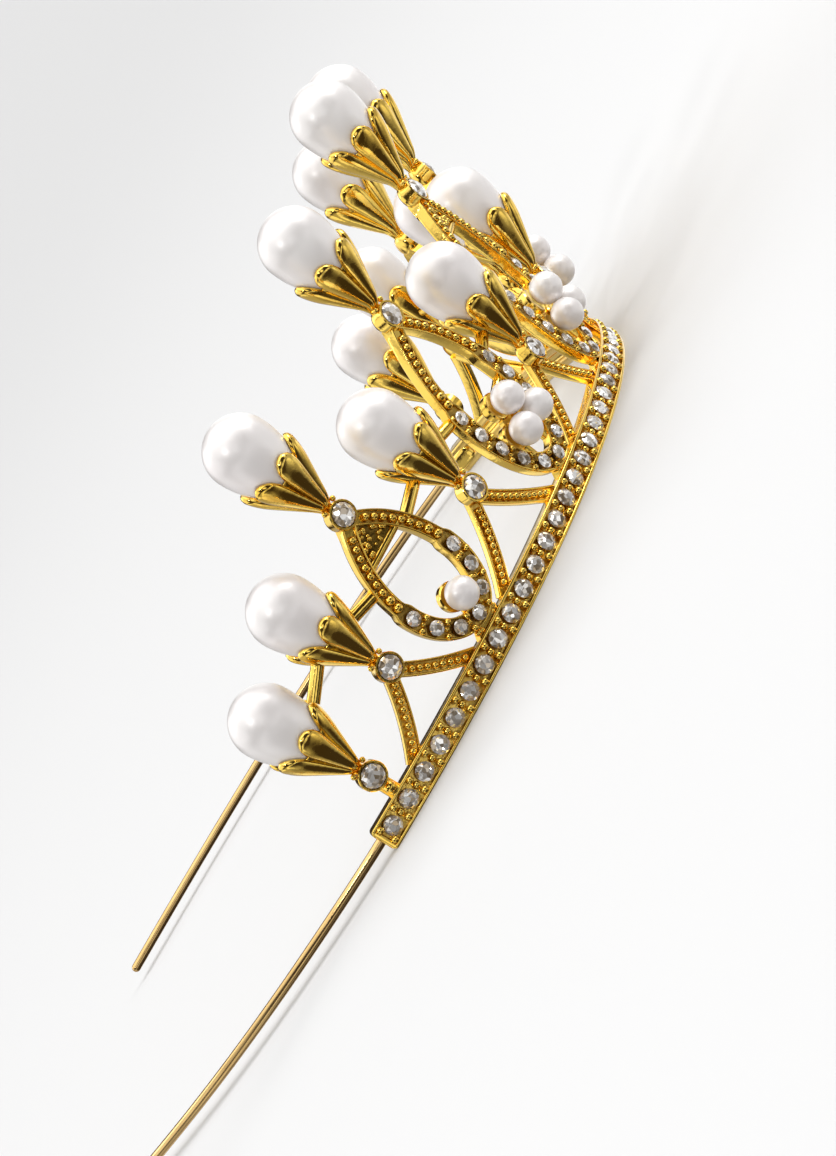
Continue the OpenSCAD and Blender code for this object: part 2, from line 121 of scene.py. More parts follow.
class Spike:
    def __init__(self, number):
        k = number - len(forms)
        self.number = number
        self.side = (k > 0) - (k < 0)
        place, height, self.lean, width, self.pairs, self.small, self.plate, spread = forms[abs(k)]
        self.s = self.side * place * bandReach
        self.h = height * crown["peakH"]
        self.half = width * crown["frameW"] / 2
        self.spread = spread * crown["armSpread"]
        self.foot = rowZ + footLift + footRise * crown["peakH"] * (1 - height)
        self.tip = self.h - crown["bezelD"] / 4
        self.wide = widestAt * self.h
        if self.half:
            rise = self.tip - self.wide
            self.arcR = (self.half ** 2 + rise ** 2) / (2 * self.half)

    # half the frame's width at height h: an elliptical foot under a pointed arch
    def halfAt(self, h):
        if h < self.wide:
            share = (self.wide - h) / (self.wide - self.foot)
            return self.half * math.sqrt(max(0, 1 - share ** 2))
        return self.half - self.arcR + math.sqrt(max(0, self.arcR ** 2 - (h - self.wide) ** 2))

    def halfOutline(self, steps):
        below = [(self.half * math.sin(a), self.wide - (self.wide - self.foot) * math.cos(a))
                 for a in (math.pi / 2 * k / steps for k in range(steps + 1))]
        top = self.tip - 0.3
        levels = [self.wide + (top - self.wide) * k / steps for k in range(1, steps + 1)]
        return below + [(self.halfAt(h), h) for h in levels]

    # the cap's own directions, with Z along the pearl
    def frame(self):
        lean = Matrix.Rotation(math.radians(-self.side * self.lean), 4, "Z")
        return leafFrame(self.s, self.h, pearlDepth) @ lean @ Matrix.Rotation(-math.pi / 2, 4, "X")


spikes = [Spike(n) for n in range(1, 2 * len(forms))]
framed = [spike for spike in spikes if spike.half]
armed = [spike for spike in spikes if spike.spread]


# The wire's course in plan, as (x, y, heading)
def wireCourse(steps):
    a = turnAt(bandReach)
    start = rail(bandReach, wireDepth, 0)
    course = [(start.x - crown["wireIn"] * math.cos(a), start.y - crown["wireIn"] * math.sin(a), a),
              (start.x, start.y, a)]
    x, y = start.x, start.y
    bends = ((crown["kinkR"], math.radians(crown["wireKink"]), 4),
             (crown["wireR"], crown["wireL"] / crown["wireR"], steps),
             (crown["tipR"], crown["tipL"] / crown["tipR"], steps // 2))
    for r, turn, n in bends:
        for k in range(1, n + 1):
            t = a + turn * k / n
            course.append((x + r * (math.sin(t) - math.sin(a)), y + r * (math.cos(a) - math.cos(t)), t))
        x, y = course[-1][:2]
        a += turn
    return course


# The origin lies in the middle of the footprint, from the pearls in front to the wires' tips
reachOut = (crown["peakH"] + pearlReach) * flareSin + pearlDepth * flareCos + pearlR
midY = (wireCourse(24)[-1][1] + crown["wireD"] / 2 - reachOut) / 2


def inMetres(p):
    return p.x * mm, (p.y - midY) * mm, p.z * mm


def circle(n, shift=0.0):
    return [2 * math.pi * (k + shift) / n for k in range(n)]


# Node maths written as Python expressions: a Field is one output socket of a tree
class Field:
    def __init__(self, tree, socket=None):
        self.tree = tree
        self.socket = socket

    # a node of any kind, with its settings and the values or links of its sockets
    def node(self, kind, *inputs, output=0, **settings):
        made = self.tree.nodes.new(kind)
        for name, value in settings.items():
            setattr(made, name, value)
        for place, value in enumerate(inputs):
            if isinstance(value, Field):
                self.tree.links.new(value.socket, made.inputs[place])
            elif value is not None:
                made.inputs[place].default_value = value
        return Field(self.tree, made.outputs[output] if made.outputs else None)

    def math(self, operation, first, second):
        return self.node("ShaderNodeMath", first, second, operation=operation)

    def __sub__(self, other):
        return self.math("SUBTRACT", self, other)

    def __rsub__(self, other):
        return self.math("SUBTRACT", other, self)

    def __mul__(self, other):
        return self.math("MULTIPLY", self, other)

    __rmul__ = __mul__

    def brighter(self, other):
        return self.math("MAXIMUM", self, other)

    def vector(self, operation, other=None, scale=None, output=0):
        return self.node("ShaderNodeVectorMath", self, other, None, scale, output=output, operation=operation)

    def noise(self, scale, detail=2.0):
        return self.node("ShaderNodeTexNoise", self, None, scale, detail)

    def ramp(self, low, high, fromValue=0.0, toValue=1.0):
        return self.node("ShaderNodeMapRange", self, low, high, fromValue, toValue)

    def mix(self, first, second):
        unused = [None] * 5
        return self.node("ShaderNodeMix", self, *unused, first, second, output=2, data_type="RGBA")


def newMaterial(name, **settings):
    material = bpy.data.materials.new(name)
    material.use_nodes = True
    shader = material.node_tree.nodes["Principled BSDF"]
    for socket, value in settings.items():
        shader.inputs[socket.replace("_", " ")].default_value = value
    return material, shader, Field(material.node_tree).node("ShaderNodeTexCoord", output="Object")


def join(shader, socket, field):
    field.tree.links.new(field.socket, shader.inputs[socket])


# Gold from its bright and dark colours, least roughness, wear and bump: noise scales are per metre
def goldMaterial(name, colour, dark, rough, wear, bump):
    noise = dict(cloud=160, cloudEdge=(0.35, 0.7), wear=420, wearEdge=(0.3, 0.75), bump=1100, bumpDetail=3.0,
                 bumpDepth=0.0002)
    material, shader, place = newMaterial(name, Metallic=1.0, Roughness=rough)
    cloud = place.noise(noise["cloud"]).ramp(*noise["cloudEdge"])
    join(shader, "Base Color", cloud.mix((*colour, 1), (*dark, 1)))
    join(shader, "Roughness", place.noise(noise["wear"]).ramp(*noise["wearEdge"], rough, rough + wear))
    if bump:
        height = place.noise(noise["bump"], noise["bumpDetail"])
        join(shader, "Normal", height.node("ShaderNodeBump", bump, noise["bumpDepth"], None, height))
    return material


polished = goldMaterial("polishedGold", (1.0, 0.70, 0.15), (0.95, 0.61, 0.10), 0.07, 0.07, 0.2)
satin = goldMaterial("satinGold", (0.96, 0.67, 0.20), (0.88, 0.58, 0.14), 0.26, 0.10, 0.10)
# Painted shade: this gold's darker clouds darken the channels of the band and the arms, where shade falls
recessShade = goldMaterial("recessGold", (0.94, 0.64, 0.14), (0.66, 0.41, 0.08), 0.20, 0.15, 0.8)
# Painted shade: near-black gold for the filled points' plates, the shade between the nuggets
grainedShade = goldMaterial("grainedGold", (0.36, 0.21, 0.04), (0.12, 0.07, 0.01), 0.16, 0.15, 0.6)
shaded = goldMaterial("shadedGold", (0.66, 0.42, 0.09), (0.30, 0.17, 0.03), 0.20, 0.15, 0.6)
springWire = goldMaterial("wireGold", (0.78, 0.53, 0.22), (0.66, 0.43, 0.17), 0.20, 0.05, 0)

# Pearls: faint clouds in a soft lacquer
lacquer = dict(cloud=90, cloudEdge=(0.35, 0.65), tone=(0.93, 0.885, 0.87, 1), light=(0.96, 0.93, 0.91, 1))
pearlLacquer, pearlShader, pearlPlace = newMaterial(
    "pearlLacquer", Metallic=0.28, Roughness=0.4, Coat_Weight=0.8, Coat_Roughness=0.28)
clouds = pearlPlace.noise(lacquer["cloud"]).ramp(*lacquer["cloudEdge"])
join(pearlShader, "Base Color", clouds.mix(lacquer["tone"], lacquer["light"]))

# Cut stones: cells of a Voronoi pattern stand for the facets of the foiled back, each tilted its own way
# Each cell's colour runs from dark to bright: painted reflections of the gold pocket and painted glints
paintedFacets = dict(cells=1500, shadeEdge=(0.1, 0.75), tilt=0.9, dark=(0.40, 0.31, 0.20, 1),
            bright=(1.0, 0.99, 0.97, 1))
crystal, crystalShader, crystalPlace = newMaterial(
    "cutCrystal", Metallic=0.6, Roughness=0.05, Coat_Weight=1.0, Coat_Roughness=0.01)
cells = crystalPlace.node("ShaderNodeTexVoronoi", crystalPlace, None, paintedFacets["cells"], output="Color")
shade = cells.node("ShaderNodeSeparateColor", cells).ramp(*paintedFacets["shadeEdge"])
join(crystalShader, "Base Color", shade.mix(paintedFacets["dark"], paintedFacets["bright"]))
facing = cells.node("ShaderNodeNewGeometry", output="Normal")
tilt = cells.vector("SUBTRACT", (0.5, 0.5, 0.5)).vector("SCALE", scale=paintedFacets["tilt"])
join(crystalShader, "Normal", tilt.vector("ADD", facing).vector("NORMALIZE"))
print("materials ready")


# Vertices in millimetres and faces, each with a material number
class Build:
    def __init__(self):
        self.points = []
        self.faces = []
        self.kinds = []

    # faces between rings of points, closed by the first and last ring: kinds are listed round the ring
    def skin(self, rings, kinds=None):
        n, m, base = len(rings[0]), len(rings), len(self.points)
        faces = [[r * n + j, r * n + (j + 1) % n, (r + 1) * n + (j + 1) % n, (r + 1) * n + j]
                 for r in range(m - 1) for j in range(n)]
        faces += [list(range(n))[::-1], [(m - 1) * n + j for j in range(n)]]
        self.points += [p for ring in rings for p in ring]
        self.faces += [[base + v for v in face] for face in faces]
        self.kinds += (kinds or [0] * n) * (m - 1) + [0, 0]

    def rod(self, a, b, r, sides=16):
        axis = (b - a).normalized()
        side = axis.orthogonal().normalized()
        other = axis.cross(side)
        self.skin([[place + r * (math.cos(t) * side + math.sin(t) * other) for t in circle(sides)]
                   for place in (a, b)])

    # a profile of (radius, height) pairs turned round the matrix's Z axis
    def lathe(self, matrix, profile, sides=36):
        self.skin([[matrix @ Vector((r * math.cos(t), r * math.sin(t), z)) for t in circle(sides)]
                   for r, z in profile])

    def ball(self, matrix, r, sides, rows=8):
        turns = (math.pi * k / rows for k in range(rows + 1))
        self.lathe(matrix, [(max(1e-3, r * math.sin(a)), -r * math.cos(a)) for a in turns], sides)

    def finish(self, name, materials, smooth=35):
        mesh = bpy.data.meshes.new(name)
        mesh.from_pydata([inMetres(p) for p in self.points], [], self.faces)
        for material in materials:
            mesh.materials.append(material)
        mesh.polygons.foreach_set("material_index", self.kinds)
        mesh.validate()
        piece = bpy.data.objects.new(name, mesh)
        bpy.context.scene.collection.objects.link(piece)
        return dress(piece, smooth)


# Faces point outwards, and edges sharper than the given angle stay crisp
def dress(piece, smooth):
    shape = bmesh.new()
    shape.from_mesh(piece.data)
    bmesh.ops.recalc_face_normals(shape, faces=shape.faces)
    limit = math.radians(smooth)
    for face in shape.faces:
        face.smooth = True
    for edge in shape.edges:
        if len(edge.link_faces) == 2 and edge.calc_face_angle(0) > limit:
            edge.smooth = False
    shape.to_mesh(piece.data)
    shape.free()
    return piece


def declare(piece, slot, *nodes):
    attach(piece, "root")
    if nodes:
        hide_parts(*nodes)


# A closed outline with each corner rounded: corners are (x, y, radius)
def rounded(corners, steps=3):
    out = []
    for k, (x, y, r) in enumerate(corners):
        here = Vector((x, y))
        back = Vector(corners[k - 1][:2]) - here
        ahead = Vector(corners[(k + 1) % len(corners)][:2]) - here
        reach = min(r, back.length * 0.45, ahead.length * 0.45)
        a = here + back.normalized() * reach
        b = here + ahead.normalized() * reach
        for t in (j / steps for j in range(steps + 1)):
            p = a * (1 - t) ** 2 + here * 2 * t * (1 - t) + b * t ** 2
            out.append((p.x, p.y))
    return out


# Geometry Nodes: a tree with named inputs, then its last steps
def startTree(name, **kinds):
    tree = bpy.data.node_groups.new(name, "GeometryNodeTree")
    for label, kind in kinds.items():
        tree.interface.new_socket(label, in_out="INPUT", socket_type="NodeSocket" + kind)
    tree.interface.new_socket("Mesh", in_out="OUTPUT", socket_type="NodeSocketGeometry")
    source = Field(tree).node("NodeGroupInput").socket.node
    return [Field(tree, source.outputs[label]) for label in kinds]


def endTree(placed, finish):
    real = placed.node("GeometryNodeRealizeInstances", placed)
    made = real.node("GeometryNodeSetMaterial", real, None, finish)
    made.node("NodeGroupOutput", made)
    return made.tree


# One shape on every point, turned and sized by the point's own attributes
def scatterTree():
    points, shape, finish = startTree("scatter", Points="Geometry", Shape="Object", Finish="Material")
    shape = shape.node("GeometryNodeObjectInfo", shape, output="Geometry")
    turn, size = (points.node("GeometryNodeInputNamedAttribute", name, data_type="FLOAT_VECTOR")
                  for name in ("turn", "size"))
    turn = turn.node("FunctionNodeEulerToRotation", turn)
    placed = points.node("GeometryNodeInstanceOnPoints", points, None, shape, None, None, turn, size)
    return endTree(placed, finish)


beadFaces = dict(around=10, rows=6)      # of each bead and grain


# Beads at an even pitch along every path
def beadTree():
    paths, pitch, radius, finish = startTree("beadRow", Paths="Geometry", Pitch="Float", Radius="Float",
                                             Finish="Material")
    curve = paths.node("GeometryNodeMeshToCurve", paths)
    spaced = curve.node("GeometryNodeResampleCurve", curve, None, None, pitch, mode="LENGTH")
    bead = paths.node("GeometryNodeMeshUVSphere", beadFaces["around"], beadFaces["rows"], radius)
    bead = bead.node("GeometryNodeSetShadeSmooth", bead)
    return endTree(spaced.node("GeometryNodeInstanceOnPoints", spaced, None, bead), finish)


trees = {"scatter": scatterTree(), "beadRow": beadTree()}


def applyTree(mesh, tree, **values):
    piece = bpy.data.objects.new(mesh.name, mesh)
    bpy.context.scene.collection.objects.link(piece)
    modifier = piece.modifiers.new(tree, "NODES")
    modifier.node_group = trees[tree]
    for item in trees[tree].interface.items_tree:
        if item.name in values:
            modifier[item.identifier] = values[item.name]
    bpy.context.view_layer.update()
    made = bpy.data.meshes.new_from_object(piece.evaluated_get(bpy.context.evaluated_depsgraph_get()))
    piece.modifiers.clear()
    piece.data = made
    made.name = piece.name
    return piece


# Places are (matrix in millimetres, size), and the shape is drawn one millimetre across
def scatter(name, shape, places, material):
    mesh = bpy.data.meshes.new(name)
    mesh.from_pydata([inMetres(m.translation) for m, size in places], [], [])
    values = {"turn": [v for m, size in places for v in m.to_3x3().normalized().to_euler()],
              "size": [size for m, size in places for axis in range(3)]}
    for label, numbers in values.items():
        mesh.attributes.new(label, "FLOAT_VECTOR", "POINT").data.foreach_set("vector", numbers)
    return applyTree(mesh, "scatter", Shape=shape, Finish=material)


def beadRow(name, paths, pitch, radius, material):
    points, edges = [], []
    for path in paths:
        edges += [(len(points) + k, len(points) + k + 1) for k in range(len(path) - 1)]
        points += [inMetres(p) for p in path]
    mesh = bpy.data.meshes.new(name)
    mesh.from_pydata(points, edges, [])
    return applyTree(mesh, "beadRow", Pitch=pitch * mm, Radius=radius * mm, Finish=material)


# A shape to be scattered, drawn in millimetres and kept out of the scene
def pattern(name, points, faces, smooth):
    mesh = bpy.data.meshes.new(name)
    mesh.from_pydata([(x * mm, y * mm, z * mm) for x, y, z in points], [], faces)
    for face in mesh.polygons:
        face.use_smooth = smooth
    return bpy.data.objects.new(name, mesh)


# Brilliant cut of one millimetre's diameter: table, stars, kites, girdle facets and a pointed back
def cutStone(name, back):
    cut = dict(table=0.28, star=0.40, starShare=0.62, high=0.16, girdle=0.5, edge=0.02)

    def ring(r, z, n, shift=0.0):
        return [(r * math.cos(a), r * math.sin(a), z) for a in circle(n, shift)]

    points = ring(cut["table"], cut["high"], 8) + ring(cut["star"], cut["starShare"] * cut["high"], 8, 0.5)
    points += ring(cut["girdle"], cut["edge"], 16) + ring(cut["girdle"], -cut["edge"], 16) + [(0, 0, -back)]
    point = len(points) - 1
    faces = [list(range(8))]
    for k in range(8):
        n, a, b, c = (k + 1) % 8, 16 + 2 * k, 17 + 2 * k, 16 + (2 * k + 2) % 16
        faces += [[k, 8 + k, n], [k, a, 8 + k], [n, 8 + k, c], [8 + k, a, b], [8 + k, b, c],
                  [a, a + 16, b + 16, b], [b, b + 16, c + 16, c],
                  [a + 16, point, b + 16], [b + 16, point, c + 16]]
    return pattern(name, points, faces, False)


# Band: one long swept section with a stone channel in front and a groove behind
def makeBand():
    sizes = dict(edge=0.32, rimEdge=0.16, floorEdge=0.1, grooveEdge=0.3, grooveTaper=0.6, steps=170,
                 endRound=0.7, endSteps=5)
    edge, rimEdge, floorEdge, grooveEdge = (sizes[k] for k in ("edge", "rimEdge", "floorEdge", "grooveEdge"))
    back, high, floor, rim = -crown["bandD"], crown["bandH"], -crown["channelD"], crown["rimW"]
    groove = crown["grooveH"] / 2
    taper, inner = sizes["grooveTaper"] * groove, crown["grooveD"] - crown["bandD"]
    section = rounded([(back, 0, edge), (back, rowZ - groove, grooveEdge), (inner, rowZ - taper, grooveEdge),
                       (inner, rowZ + taper, grooveEdge), (back, rowZ + groove, grooveEdge),
                       (back, high, edge), (0, high, rimEdge), (0, high - rim, rimEdge),
                       (floor, high - rim, floorEdge), (floor, rim, floorEdge), (0, rim, rimEdge),
                       (0, 0, edge)])
    kinds = []
    for (x, z), (x2, z2) in zip(section, section[1:] + section[:1]):
        level, depth = (z + z2) / 2, (x + x2) / 2
        inChannel = 0.9 * rim < level < high - 0.9 * rim and floor - 0.01 < depth < -0.25
        underOrBehind = level < 0.02 or depth < back + 0.3
        # Faces inside the channel take the third material, a darker gold: painted shade
        kinds.append(2 if inChannel else 1 if underOrBehind else 0)
    turns = [math.pi / 2 * k / sizes["endSteps"] for k in range(sizes["endSteps"] + 1)]
    end = [(bandReach - sizes["endRound"] * (1 - math.sin(a)), sizes["endRound"] * (1 - math.cos(a)))
           for a in turns]
    stations = [(-s, cut) for s, cut in end[::-1]]
    stations += [(bandReach * (2 * k / sizes["steps"] - 1), 0) for k in range(1, sizes["steps"])] + end
    middle = back / 2
    build = Build()
    build.skin([[rail(s, middle + (d - middle) * (1 + cut / middle), rowZ + (z - rowZ) * (1 - cut / rowZ))
                 for d, z in section] for s, cut in stations], kinds)
    for m in (-1, 1):
        closeChannel(build, m)
    for m in (-1, 1):
        addTab(build, m)
    declare(build.finish("band", [polished, satin, recessShade]), "cast_metal", "crown_frame")


# A wall across the channel's end, as distances back from the end and behind the band's face
def closeChannel(build, m):
    wall = ((0.95, 0.5), (0.8, 0.2), (0.6, 0.08), (0.4, 0.12), (0.2, 0.26), (0.08, 0.5))
    foot = -crown["channelD"] - 0.15
    rings = []
    for back, front in wall:
        half = (1 - 0.2 * front) * (rowZ - 0.8 * crown["rimW"])
        rings.append([rail(m * (bandReach - back), d, rowZ + z * half)
                      for d, z in ((foot, -1), (-front, -1), (-front, 1), (foot, 1))])
    build.skin(rings)


# The tab behind the band's end, with the hole that holds the wire
def addTab(build, m):
    sizes = dict(round=0.95, roundSteps=5, play=0.07, walls=1.5, long=1.2, inset=0.2, behind=0.1)
    half = (crown["bandD"] + crown["tabD"] - crown["channelD"] - sizes["inset"]) / 2
    near, far, high = -half - sizes["behind"], half - sizes["behind"], (crown["wireD"] + sizes["walls"]) / 2
    corners = ((near, -high), (near, high), (far, high), (far, -high))
    outline = rounded([(x, y, sizes["round"]) for x, y in corners], sizes["roundSteps"])
    boreR = crown["wireD"] / 2 + sizes["play"]
    bore = [(boreR * math.cos(a), boreR * math.sin(a)) for a in (math.atan2(y, x) for x, y in outline)]
    long = sizes["long"] * crown["wireIn"]
    loops = [(long, outline, 0.4), (long - 0.1, outline, 0.66), (long - 0.4, outline, 0.88),
             (long - 1, outline, 1), (0.7, outline, 1), (0.25, outline, 0.95), (0, outline, 0.86),
             (0, bore, 1), (crown["wireIn"], bore, 1)]
    matrix = bandFrame(m * bandReach, wireDepth)
    build.skin([[matrix @ Vector((-m * back, y * share, x * share)) for x, y in loop]
                for back, loop, share in loops])


# A strip of metal along a path of (place, height) points: the section is (side, inset, depth) triples
def strip(build, path, widths, section, kinds):
    rings = []
    for k, (s, h) in enumerate(path):
        a, b = path[max(k - 1, 0)], path[min(k + 1, len(path) - 1)]
        t = Vector((b[0] - a[0], b[1] - a[1])).normalized()
        ring = []
        for side, inset, depth in section:
            reach = side * (widths[k] / 2 - inset)
            ring.append(leaf(s + t.y * reach, h - t.x * reach, depth))
        rings.append(ring)
    build.skin(rings, kinds)


# Channelled section with rounded rims, and the material of each face
def channelSection(rim, front, back, floor, edge, backEdge=0.5):
    half = crown["armW"] / 2
    outline = rounded([(-half, back, backEdge), (-half, front, edge), (rim - half, front, edge),
                       (rim - half, floor, edge / 2), (half - rim, floor, edge / 2),
                       (half - rim, front, edge), (half, front, edge), (half, back, backEdge)])
    section = [(-1 if x < 0 else 1, half - abs(x), d) for x, d in outline]
    kinds = []
    for (x, d), (x2, d2) in zip(outline, outline[1:] + outline[:1]):
        # The channel's inside faces take the second material, a darker gold: painted shade
        inside = abs((x + x2) / 2) < half - rim - 0.02 and (d + d2) / 2 > back + 0.3
        kinds.append(1 if inside else 0)
    return section, kinds


def lengthAlong(path):
    out = [0.0]
    for a, b in zip(path, path[1:]):
        out.append(out[-1] + math.hypot(b[0] - a[0], b[1] - a[1]))
    return out


# The point at a given length along a path, and the path's heading there
def pointAlong(path, reach):
    at = lengthAlong(path)
    for k, (a, b) in enumerate(zip(path, path[1:])):
        if at[k + 1] >= reach:
            t = (reach - at[k]) / max(1e-9, at[k + 1] - at[k])
            return a[0] + (b[0] - a[0]) * t, a[1] + (b[1] - a[1]) * t, math.atan2(b[1] - a[1], b[0] - a[0])
    return (*path[-1], math.pi / 2)


# Pointed frames: a channel that carries stones round the foot and beads up to the point
def makeFrames():
    sizes = dict(steps=26, edge=0.13, blend=1.2, smallBead=0.57, largeBead=0.73, beadPitch=1.15, beadLift=0.3,
                 beadStart=0.75, largePitch=1.45, beadEnd=2.2, beadSteps=14, grain=1.0, middleGrain=0.9,
                 middleSunk=0.1, grainInset=0.5, grainLift=0.32)
    build = Build()
    section, kinds = channelSection(crown["frameRim"], metalFront, metalBack, channelFloor, sizes["edge"])
    beadPaths, largeBeads, stones, grains = [], [], [], []
    beadDepth, grainDepth = channelFloor + sizes["beadLift"], channelFloor + sizes["grainLift"]
    beadSteps = sizes["beadSteps"]
    chance = random.Random(4)
    for spike in framed:
        half = spike.halfOutline(sizes["steps"])
        outline = [(-x, h) for x, h in half[:0:-1]] + half
        at = lengthAlong(half)
        reach = (spike.pairs + 0.5) * framePitch
        widths = []
        for k in range(len(outline)):
            share = min(1, max(0, (at[abs(k - (len(half) - 1))] - reach) / sizes["blend"] + 0.5))
            widths.append(frameSide + (crown["armW"] - frameSide) * share * share * (3 - 2 * share))
        strip(build, [(spike.s + x, h) for x, h in outline], widths, section, kinds)

        start = reach + sizes["beadStart"]
        first = start + 2 * sizes["largePitch"]
        run = at[-1] - sizes["beadEnd"] - first
        for m in (-1, 1):
            for k in range(2):
                x, h, heading = pointAlong(half, start + k * sizes["largePitch"])
                largeBeads.append((leafFrame(spike.s + m * x, h, beadDepth), 2 * sizes["largeBead"]))
            stretch = [pointAlong(half, first + run * k / beadSteps) for k in range(beadSteps + 1)]
            beadPaths.append([leaf(spike.s + m * x, h, beadDepth) for x, h, heading in stretch])

        for step in range(-2 * spike.pairs, 2 * spike.pairs + 1):
            x, h, heading = pointAlong(half, abs(step) / 2 * framePitch)
            m = -1 if step < 0 else 1
            if step % 2 == 0:
                place = leafFrame(spike.s + m * x, h, channelFloor + crown["gap"] + stoneDepth)
                stones.append((place, crown["frameStone"]))
                continue
            place = leafFrame(spike.s + m * x, h, channelFloor - sizes["middleSunk"])
            grains.append((place, sizes["middleGrain"]))
            for side in (-1, 1):
                off = side * (frameSide / 2 - sizes["grainInset"])
                gx, gh = x + math.sin(heading) * off, h - math.cos(heading) * off
                grains.append((leafFrame(spike.s + m * gx, gh, grainDepth), sizes["grain"]))
        grains += addFoot(build, spike, chance)
        grains += addPoint(build, spike, chance)
    declare(build.finish("pointedFrames", [polished, shaded, grainedShade]), "cast_metal")
    declare(beadRow("frameBeads", beadPaths, sizes["beadPitch"], sizes["smallBead"], polished), "cast_metal")
    return largeBeads, stones, grains


# The cast foot between a frame and the band, with knots of metal on it
def addFoot(build, spike, chance):
    sizes = dict(lift=0.3, low=(3, -0.75, 0.3), high=(1.6, 0.9, 0.4), deep=0.62, knots=8, knotOut=(1.3, 2.4),
                 knotUp=(0.15, 0.6), knotFront=0.5, knot=(0.5, 0.9))
    (wide, down, lowEdge), (narrow, up, highEdge), deep = sizes["low"], sizes["high"], sizes["deep"]
    pad = rounded([(-wide, down, lowEdge), (wide, down, lowEdge), (narrow, up, highEdge),
                   (-narrow, up, highEdge)], 2)
    matrix = leafFrame(spike.s, rowZ + sizes["lift"], barMid)
    build.skin([[matrix @ Vector((x, y, z)) for x, y in pad] for z in (-deep, deep)])
    grains = []
    for k in range(sizes["knots"]):
        x = chance.uniform(*sizes["knotOut"]) * (-1) ** k
        h = rowZ + chance.uniform(*sizes["knotUp"])
        place = leafFrame(spike.s + x, h, barMid + sizes["knotFront"])
        grains.append((place, chance.uniform(*sizes["knot"])))
    return grains


# The solid point of a frame and, where it is filled, the granulated plate, its crossbar and its nuggets
def addPoint(build, spike, chance):
    sizes = dict(long=1.9, top=0.63, over=0.4, edge=0.2, plateIn=0.2, plateSteps=6, bar=0.62, barSunk=0.35,
                 nuggets=30, nuggetSunk=0.06, nuggetUp=0.9, nuggetDown=0.3, crowd=1.4, nugget=(0.45, 0.95))
    cut, over = spike.tip - sizes["long"], spike.tip + sizes["over"]
    broad, narrow = spike.halfAt(cut) + 0.5 * crown["armW"], sizes["top"] * crown["armW"]
    corners = ((-broad, cut), (broad, cut), (narrow, over), (-narrow, over))
    wedge = rounded([(x, h, sizes["edge"]) for x, h in corners], 2)
    build.skin([[leaf(spike.s + x, h, d) for x, h in wedge] for d in (metalBack - 0.02, channelFloor + 0.05)])
    if not spike.plate:
        return []
    inset, steps = sizes["plateIn"], sizes["plateSteps"]
    low, front, back = spike.tip - plateL, channelFloor - inset, metalBack + inset
    rings = []
    for h in (low + (cut + 0.4 - low) * k / steps for k in range(steps + 1)):
        w = spike.halfAt(h)
        rings.append([leaf(spike.s + x, h, d)
                      for x, d in ((-w, back), (w, back), (w, front), (0, front + 0.1), (-w, front))])
    # The plate's front faces take the third material, near-black gold: painted shade between the nuggets
    build.skin(rings, [0, 0, 2, 2, 0])
    w, d = spike.halfAt(low), channelFloor - sizes["barSunk"]
    build.rod(leaf(spike.s - w, low, d), leaf(spike.s + w, low, d), sizes["bar"])
    first = low + sizes["nuggetUp"]
    run = cut - sizes["nuggetDown"] - first
    grains = []
    for k in range(sizes["nuggets"]):
        h = first + run * chance.random() ** sizes["crowd"]
        x = (spike.halfAt(h) - 0.5 * crown["armW"]) * chance.uniform(-1, 1)
        place = leafFrame(spike.s + x, h, channelFloor - sizes["nuggetSunk"])
        grains.append((place, chance.uniform(*sizes["nugget"])))
    return grains


# Curved arms under the short spikes, each with a row of beads between two rims
def makeArms():
    sizes = dict(steps=22, rim=0.3, edge=0.13, bead=0.52, pitch=0.99, beadLift=0.3, endBare=3, topOut=0.3,
                 bendOut=0.42, bendUp=0.46, footDown=0.8, apart=0.02)
    build = Build()
    section, kinds = channelSection(sizes["rim"], armFront, armBack, armFloor, sizes["edge"])
    paths = []
    for spike in armed:
        a = (sizes["topOut"], spike.tip)
        b = (sizes["bendOut"] * spike.spread, sizes["bendUp"] * spike.h)
        c = (spike.spread, rowZ - sizes["footDown"])
        for m in (-1, 1):
            path = []
            for t in (k / sizes["steps"] for k in range(sizes["steps"] + 1)):
                x, h = ((1 - t) ** 2 * p + 2 * t * (1 - t) * q + t * t * r for p, q, r in zip(a, b, c))
                path.append((spike.s + m * x, h))
            own = [(side, inset, d + sizes["apart"] * m) for side, inset, d in section]
            strip(build, path, [crown["armW"]] * len(path), own, kinds)
            bare = sizes["endBare"]
            paths.append([leaf(s, h, armFloor + sizes["beadLift"]) for s, h in path[bare:-bare]])
    declare(build.finish("curvedArms", [polished, recessShade]), "cast_metal")
    declare(beadRow("armBeads", paths, sizes["pitch"], sizes["bead"], polished), "cast_metal")


# Small pearls in each frame, as (across, height) places
def smallPlaces():
    r = smallR / math.sin(math.pi / 3) + crown["gap"]
    out = []
    for spike in framed:
        low = spike.foot + frameSide / 2
        if spike.small == 1:
            out.append((spike, [(0, low + smallR + 0.2)]))
        else:
            middle = low + 1.35 * crown["smallPearl"]
            out.append((spike, [(r * math.sin(a), middle + r * math.cos(a)) for a in circle(spike.small)]))
    return out


